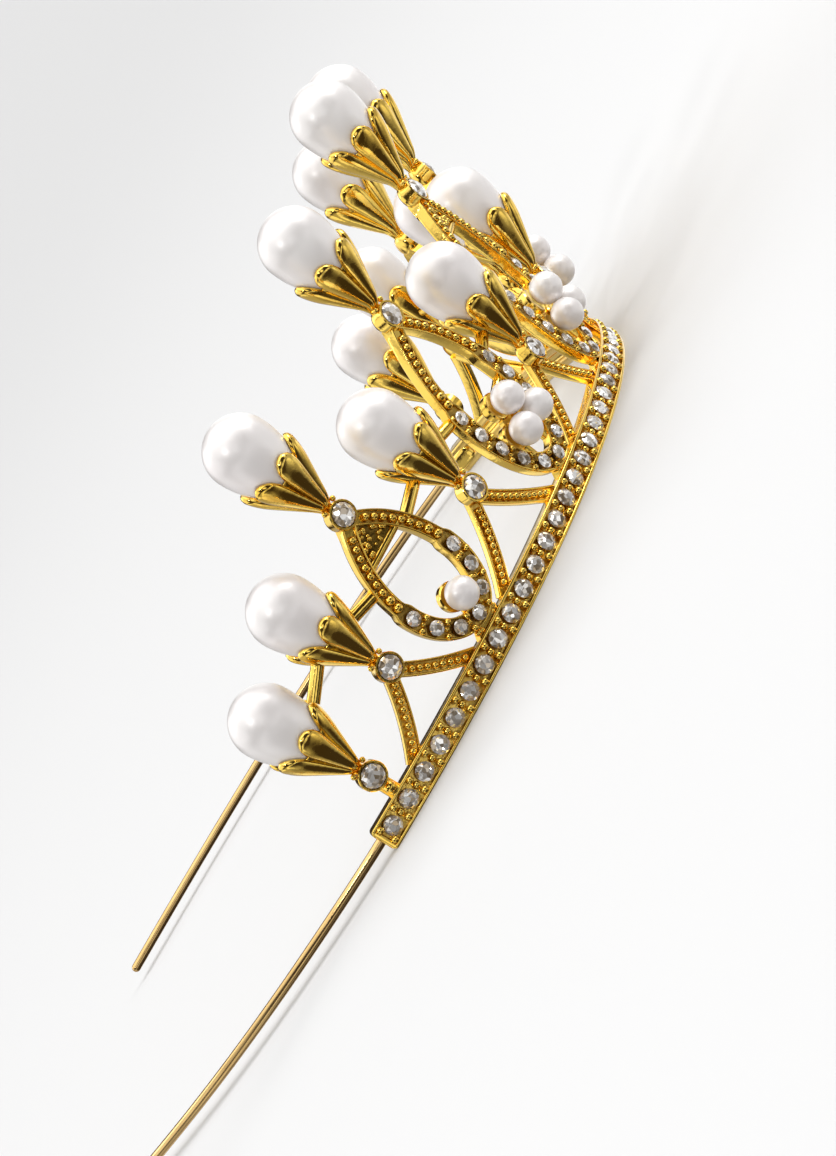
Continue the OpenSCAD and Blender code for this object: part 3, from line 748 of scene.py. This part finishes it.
# Struts between neighbouring spikes, seats of the small pearls, and the stems of the end spikes
def makeTies():
    sizes = dict(strut=0.92, leg=0.78, seat=2.05, stem=1.1, ball=0.85, capLow=(0.58, 0.26), frameUp=0.48,
                 frameIn=0.5, capSide=(0.66, 0.28), capHigh=(0.9, 0.42), legTop=1.2, legFoot=0.8, web=1.6)
    build = Build()

    # a point on a cap's side, t of its length up and out by a share of its width
    def capSide(spike, m, t, out):
        shift = spike.side * t * crown["capL"] * math.sin(math.radians(spike.lean))
        return spike.s + m * out * crown["capW"] + shift, spike.h + t * crown["capL"]

    def bar(a, b, r, sides=16):
        build.rod(leaf(*a, barMid), leaf(*b, barMid), r, sides)

    for spike in armed:
        for m in (-1, 1):
            other = spikes[spike.number - 1 + m]
            if other.half:
                h = spike.h + sizes["frameUp"] * crown["capL"]
                frameX = other.s - m * (other.halfAt(h) + sizes["frameIn"])
                start, end = capSide(spike, m, *sizes["capLow"]), (frameX, h)
            else:
                start, end = capSide(spike, m, *sizes["capSide"]), capSide(other, -m, *sizes["capHigh"])
            bar(start, end, sizes["strut"])

    seat, top, back = sizes["seat"], -crown["smallSunk"] - crown["gap"], metalBack + 0.1
    cup = [(0.01, back), (seat - 0.2, back), (seat, back + 0.25), (seat + 0.05, top - 0.1),
           (seat - 0.15, top + 0.12), (seat - 0.5, top - 0.05), (0.01, top - 0.3)]
    web = [(0.01, metalBack + 0.2), (sizes["web"], metalBack + 0.2), (sizes["web"], -1.1), (0.01, -1.0)]
    for spike, places in smallPlaces():
        for x, h in places:
            build.lathe(leafFrame(spike.s + x, h, 0), cup)
            if spike.small == 1 or x:
                foot = (spike.s + x, spike.foot + sizes["legFoot"])
                bar((spike.s + x, h - sizes["legTop"]), foot, sizes["leg"])
        # a spur from the top seat to the frame, and a web between the three
        if spike.small > 1:
            high, low = places[0][1], places[1][1]
            bar((spike.s + 1.5, high + 0.3), (spike.s + spike.halfAt(high + 1) - 0.8, high + 1), sizes["leg"])
            build.lathe(leafFrame(spike.s, (high + 2 * low) / 3, 0), web, 20)
    for spike in spikes:
        if not spike.half and not spike.spread:
            bar((spike.s, rowZ - 0.5), (spike.s, spike.h - 1), sizes["stem"], 24)
            middle = (rowZ + spike.h - crown["bezelD"] / 2) / 2
            build.ball(Matrix.Translation(leaf(spike.s, middle, metalFront - 0.2)), sizes["ball"], 20)
    declare(build.finish("tiesAndSeats", [polished]), "cast_metal")


# Fluted caps: six tapered fingers with round ends lie along the pearl's narrow end, joined by a low web
def makeCaps():
    sizes = dict(lobes=6, rows=20, noseRows=5, innerRows=4, start=0.07, neck=0.3, slope=0.532, bendAt=0.64,
                 bend=0.046, thick=1.15, thickShare=0.27, width=1.8, widthShare=0.36, endRound=1.65,
                 webRim=9.8, edgeRise=0.75, nose=1.15, webNose=0.2, web=0.26, webShare=0.70, fingerWeb=0.6,
                 play=0.18, floorDrop=0.25, floorWall=0.3, drawnBack=1.2, drawnOver=2.6)
    length, lobes = crown["capL"], sizes["lobes"]
    rows, noseRows, innerRows = sizes["rows"], sizes["noseRows"], sizes["innerRows"]
    low, floorZ = sizes["start"] * length, pearlReach - pearlLow - sizes["floorDrop"]
    turns = [-104, -90, -72, -54, -36, -18, 0, 18, 36, 54, 72, 90, 104, None]

    def outer(z):
        bent = max(0, z - sizes["bendAt"] * length)
        return sizes["neck"] + sizes["slope"] * (z - low) - sizes["bend"] * bent ** 2

    # the pearl's own radius at height z, with a little play, above the cap's solid floor
    def inner(z):
        if z <= floorZ:
            return 0
        return pearlR * math.sqrt(max(0, 1 - ((z - pearlReach) / pearlLow) ** 2)) + sizes["play"]

    # radius and angle at height z: on a finger's ellipse, or on the web where turn is None
    def station(lobe, turn, z):
        middle = 2 * math.pi * (lobe + 0.5) / lobes
        reach = outer(z)
        if turn is None:
            return max(sizes["webShare"] * reach, inner(z) + sizes["web"]), middle + math.pi / lobes
        thick = min(sizes["thickShare"] * reach, sizes["thick"])
        width = min(sizes["widthShare"] * reach, sizes["width"])
        t = math.radians(turn)
        x, y = reach - thick + thick * math.cos(t), width * math.sin(t)
        return max(math.hypot(x, y), inner(z) + sizes["web"] * sizes["fingerWeb"]), middle + math.atan2(y, x)

    # the neck is drawn back a little, so that it leaves the bezel's stone free
    def point(r, a, z):
        back = sizes["drawnBack"] * max(0, 1 - (z - low) / sizes["drawnOver"]) ** 1.5
        return Vector((r * math.cos(a), r * math.sin(a) + back, z))

    # columns of points: up the outside, over the rounded nose and down the inside
    columns = []
    for lobe, turn in ((lobe, turn) for lobe in range(lobes) for turn in turns):
        side = 0 if turn is None else max(0, math.cos(math.radians(turn)))
        if side > 0.01:
            rim = length - sizes["endRound"] * (1 - side)
        else:
            rim = sizes["webRim"] + sizes["edgeRise"] * (turn in (-90, 90))
        nose = sizes["webNose"] + (sizes["nose"] - sizes["webNose"]) * side
        column = []
        for k in range(rows + 1):
            z = low + (rim - nose - low) * k / rows
            column.append(point(*station(lobe, turn, z), z))
        for t in (math.pi / 2 * k / noseRows for k in range(1, noseRows + 1)):
            z = rim - nose + nose * math.sin(t)
            r, a = station(lobe, turn, z)
            column.append(point(inner(z) + (r - inner(z)) * math.cos(t), a, z))
        a = station(lobe, turn, rim)[1]
        for k in range(1, innerRows + 1):
            z = rim + (floorZ + sizes["floorWall"] - rim) * k / innerRows
            column.append(point(inner(z), a, z))
        columns.append(column)

    build = Build()
    for spike in spikes:
        matrix = spike.frame()
        build.skin([[matrix @ p for p in ring] for ring in zip(*columns)])
    declare(build.finish("flutedCaps", [polished], 60), "cast_metal")


# Bezel cups, with two tiny granules where each cap begins
def makeBezels():
    sizes = dict(rim=0.14, granule=0.42, granuleAt=(1.25, -0.35, 2.15), play=0.06, deep=0.85)
    r, pocket = crown["bezelD"] / 2, crown["bezelStone"] / 2 + sizes["play"]
    back, front, rim, floor = metalBack - 0.15, cupFront, cupFront + sizes["rim"], cupFront - sizes["deep"]
    dome = [(0.01, back), (0.35 * r, back + 0.03), (0.65 * r, back + 0.17), (0.86 * r, back + 0.42),
            (0.97 * r, back + 0.8), (r, back + 1.15)]
    cup = [(r, front - 0.25), (r + 0.04, front), (r - 0.05, rim), (pocket + 0.08, rim), (pocket, front),
           (pocket, floor), (0.01, floor - 0.02)]
    build = Build()
    for spike in spikes:
        build.lathe(leafFrame(spike.s, spike.h, 0), dome + cup, 40)
        x, y, z = sizes["granuleAt"]
        for m in (-1, 1):
            build.ball(Matrix.Translation(spike.frame() @ Vector((m * x, y, z))), sizes["granule"], 12)
    declare(build.finish("bezelCups", [polished]), "cast_metal")


# Drop pearls, round above and drawn out to an ellipse below, and the small round ones
def makePearls():
    sizes = dict(around=64, rows=40, smallAround=48, smallRows=24)
    profile = []
    for k in range(sizes["rows"] + 1):
        a = -math.pi / 2 + math.pi * k / sizes["rows"]
        reach = pearlLow if a < 0 else pearlR
        profile.append((max(1e-3, pearlR * math.cos(a)), pearlReach + reach * math.sin(a)))
    for spike in spikes:
        build = Build()
        build.lathe(spike.frame(), profile, sizes["around"])
        piece = build.finish(f"dropPearl_{spike.number}", [pearlLacquer], 180)
        declare(piece, "pearl", f"drop_pearl_{spike.number}")
    small = [(spike.s + x, h) for spike, places in smallPlaces() for x, h in places]
    for number, (s, h) in enumerate(small, 1):
        build = Build()
        place = leafFrame(s, h, smallR - crown["smallSunk"])
        build.ball(place, smallR, sizes["smallAround"], sizes["smallRows"])
        piece = build.finish(f"smallPearl_{number}", [pearlLacquer], 180)
        declare(piece, "pearl", f"small_pearl_{number}")


# Stones: one piece for the band's row, one for those of the frames, and one for each bezel
def makeStones(frameStones):
    sizes = dict(shallow=0.19, deep=0.26, bezelLift=0.1)
    shallow, deep = cutStone("shallowCut", sizes["shallow"]), cutStone("deepCut", sizes["deep"])
    depth = stoneDepth + crown["gap"] - crown["channelD"]
    row = [(bandFrame((k - (crown["stoneCount"] - 1) / 2) * crown["stonePitch"], depth), crown["bandStone"])
           for k in range(crown["stoneCount"])]
    sets = [("bandRowStones", shallow, row, "band_stones"),
            ("frameRowStones", shallow, frameStones, "frame_stones")]
    for spike in spikes:
        place = (leafFrame(spike.s, spike.h, cupFront + sizes["bezelLift"]), crown["bezelStone"])
        sets.append((f"bezelStone_{spike.number}", deep, [place], f"bezel_stone_{spike.number}"))
    for name, shape, places, node in sets:
        declare(dress(scatter(name, shape, places, crystal), 1), "clear_stone", node)


# A ball whose poles are single points
def ballPoints(r, around, rows):
    points = [(0, 0, -r)]
    for a in (math.pi * k / rows for k in range(1, rows)):
        points += [(r * math.sin(a) * math.cos(t), r * math.sin(a) * math.sin(t), -r * math.cos(a))
                   for t in circle(around)]
    points.append((0, 0, r))
    steps = [(j, (j + 1) % around) for j in range(around)]
    faces = [[0, 1 + n, 1 + j] for j, n in steps]
    for k in range(rows - 2):
        a, b = 1 + k * around, 1 + (k + 1) * around
        faces += [[a + j, a + n, b + n, b + j] for j, n in steps]
    last = 1 + (rows - 2) * around
    faces += [[last + j, last + n, len(points) - 1] for j, n in steps]
    return points, faces


# Cast grains that hold the stones, and the larger beads at the top of each row of stones
def makeGrains(largeBeads, frameGrains):
    sizes = dict(endLand=1.2, side=1.12, sideUp=1.14, sideDepth=-0.28, middle=1.15, middleDepth=-0.75)
    ball = pattern("grain", *ballPoints(0.5, **beadFaces), True)
    grains = list(frameGrains)
    last = bandReach - sizes["endLand"]
    for k in range(crown["stoneCount"] + 1):
        s = max(-last, min(last, (k - crown["stoneCount"] / 2) * crown["stonePitch"]))
        for m in (-1, 1):
            grains.append((bandFrame(s, sizes["sideDepth"], m * sizes["sideUp"]), sizes["side"]))
        if abs(s) < last:
            grains.append((bandFrame(s, sizes["middleDepth"]), sizes["middle"]))
    declare(scatter("castGrains", ball, grains + largeBeads, polished), "cast_metal")


# Spring wires with rounded ends
def makeWires():
    sizes = dict(around=20, steps=40, tipSteps=6)
    r = crown["wireD"] / 2
    course = [(x, y, a, r) for x, y, a in wireCourse(sizes["steps"])]
    x, y, a = course[-1][:3]
    for k in range(1, sizes["tipSteps"] + 1):
        t = math.pi / 2 * k / sizes["tipSteps"]
        course.append((x + r * math.sin(t) * math.cos(a), y + r * math.sin(t) * math.sin(a), a,
                       r * max(0.02, math.cos(t))))
    for m, name in ((-1, "left"), (1, "right")):
        build = Build()
        build.skin([[Vector((m * (x + thick * math.cos(t) * math.sin(a)),
                             y - thick * math.cos(t) * math.cos(a), rowZ + thick * math.sin(t)))
                     for t in circle(sizes["around"])] for x, y, a, thick in course])
        declare(build.finish(f"springWire_{name}", [springWire], 50), "spring_wire", f"wire_arm_{name}")


makeBand()
print("band ready")
largeBeads, frameStones, frameGrains = makeFrames()
print("frames ready")
makeArms()
makeTies()
print("arms and ties ready")
makeCaps()
makeBezels()
print("caps ready")
makePearls()
makeStones(frameStones)
makeGrains(largeBeads, frameGrains)
makeWires()
print("stones, pearls and wires ready")


# Studio: a pale floor, soft lights, a room that the gold mirrors, and the camera
view = dict(azimuth=-68.4, elevation=8.0, roll=58.8, distance=0.752, lens=166.6,
            aim=(0.0050, -0.0200, 0.0065))


def viewDirection():
    a, e = math.radians(view["azimuth"]), math.radians(view["elevation"])
    return Vector((math.sin(a) * math.cos(e), -math.cos(a) * math.cos(e), math.sin(e)))


def makeFloor():
    sizes = dict(reach=30.0, colour=(0.74, 0.74, 0.74, 1))
    reach = sizes["reach"]
    corners = [(-reach, -reach, 0), (reach, -reach, 0), (reach, reach, 0), (-reach, reach, 0)]
    mesh = bpy.data.meshes.new("floor")
    mesh.from_pydata(corners, [], [[0, 1, 2, 3]])
    mesh.materials.append(newMaterial("paleFloor", Roughness=0.8, Base_Color=sizes["colour"])[0])
    floor = bpy.data.objects.new("floor", mesh)
    floor.visible_glossy = False
    bpy.context.scene.collection.objects.link(floor)


# Bright walls with dark gaps, a dark side with a small soft light where the photo was taken from, a bright
# ceiling and a bright table: the gold mirrors them, and the camera sees a plain pale background. Pairs are
# edges, from dark to bright, of the height or of how far a direction points to the dark side
def makeRoom():
    sizes = dict(darkSide=(0.25, 0.60), wallFoot=(-0.10, 0.02), ceiling=(0.62, 0.80), patch=1.7,
                 patchEdge=(0.42, 0.54), spotRise=0.3, spotEdge=(0.95, 0.985), table=1.05,
                 tableEdge=(-0.12, -0.04), tableNear=(-0.50, -0.30), tableFar=(-0.90, -0.52),
                 tableDark=(0.20, 0.55), tablePatch=0.35, shadow=(0.045, 0.035, 0.03, 1),
                 bright=(1.15, 1.15, 1.15, 1), plain=(0.86, 0.86, 0.86, 1))
    world = bpy.data.worlds.new("studio")
    bpy.context.scene.world = world
    world.use_nodes = True
    way = Field(world.node_tree).node("ShaderNodeTexCoord", output="Generated")
    spotWay = (viewDirection() + Vector((0, 0, sizes["spotRise"]))).normalized()
    toward = way.vector("DOT_PRODUCT", tuple(viewDirection()), output="Value")
    spot = way.vector("DOT_PRODUCT", tuple(spotWay), output="Value").ramp(*sizes["spotEdge"])
    height = way.node("ShaderNodeSeparateXYZ", way, output="Z")
    patches = way.noise(sizes["patch"], 1.0).ramp(*sizes["patchEdge"])
    walls = patches * (1 - toward.ramp(*sizes["darkSide"])) * height.ramp(*sizes["wallFoot"])
    far = (1 - toward.ramp(*sizes["tableDark"])) * height.ramp(*sizes["tableFar"])
    lit = height.ramp(*sizes["tableNear"]).brighter(far)
    table = sizes["table"] * (1 - height.ramp(*sizes["tableEdge"])) * lit
    table = table * patches.ramp(0.0, 1.0, sizes["tablePatch"], 1.0)
    light = walls.brighter(height.ramp(*sizes["ceiling"])).brighter(table).brighter(spot)
    mirrored = way.node("ShaderNodeBackground", light.mix(sizes["shadow"], sizes["bright"]))
    plain = way.node("ShaderNodeBackground", sizes["plain"])
    seen = way.node("ShaderNodeLightPath", output="Is Camera Ray")
    shown = way.node("ShaderNodeMixShader", seen, mirrored, plain)
    join(world.node_tree.nodes["World Output"], "Surface", shown)


# An even light from above, and soft lamps as (place, width, watts)
def makeLamps():
    sizes = dict(even=0.74, evenWidth=80, evenTurn=(15, 10, 0), target=(0, 0, 0.02))
    lamps = (((0.29, -0.72, 0.47), 0.34, 1.9), ((-0.63, 0.06, 0.55), 0.10, 0.7),
             ((0.25, 0.75, 0.75), 0.5, 0.9))

    def hang(name, kind, energy):
        light = bpy.data.lights.new(name, kind)
        light.energy = energy
        lamp = bpy.data.objects.new(name, light)
        bpy.context.scene.collection.objects.link(lamp)
        return light, lamp

    light, lamp = hang("evenLight", "SUN", sizes["even"])
    light.angle = math.radians(sizes["evenWidth"])
    lamp.rotation_euler = [math.radians(turn) for turn in sizes["evenTurn"]]
    for place, width, energy in lamps:
        light, lamp = hang("softLight", "AREA", energy)
        light.shape = "DISK"
        light.size = width
        lamp.location = place
        lamp.rotation_euler = (Vector(sizes["target"]) - Vector(place)).to_track_quat("-Z", "Y").to_euler()
        lamp.visible_camera = False


def makeCamera():
    away = viewDirection()
    camera = bpy.data.cameras.new("camera")
    camera.sensor_fit = "VERTICAL"
    camera.sensor_height = 36
    camera.lens = view["lens"]
    camera.clip_end = 100
    holder = bpy.data.objects.new("camera", camera)
    bpy.context.scene.collection.objects.link(holder)
    right = (-away).cross(Vector((0, 0, 1))).normalized()
    up = right.cross(-away)
    roll = math.radians(view["roll"])
    across = math.cos(roll) * right - math.sin(roll) * up
    upright = math.sin(roll) * right + math.cos(roll) * up
    turned = Matrix((across, upright, away)).transposed().to_4x4()
    holder.matrix_world = Matrix.Translation(Vector(view["aim"]) + away * view["distance"]) @ turned
    bpy.context.scene.camera = holder


bpy.context.scene.view_settings.view_transform = "Standard"
makeFloor()
makeRoom()
makeLamps()
makeCamera()
print("studio ready")
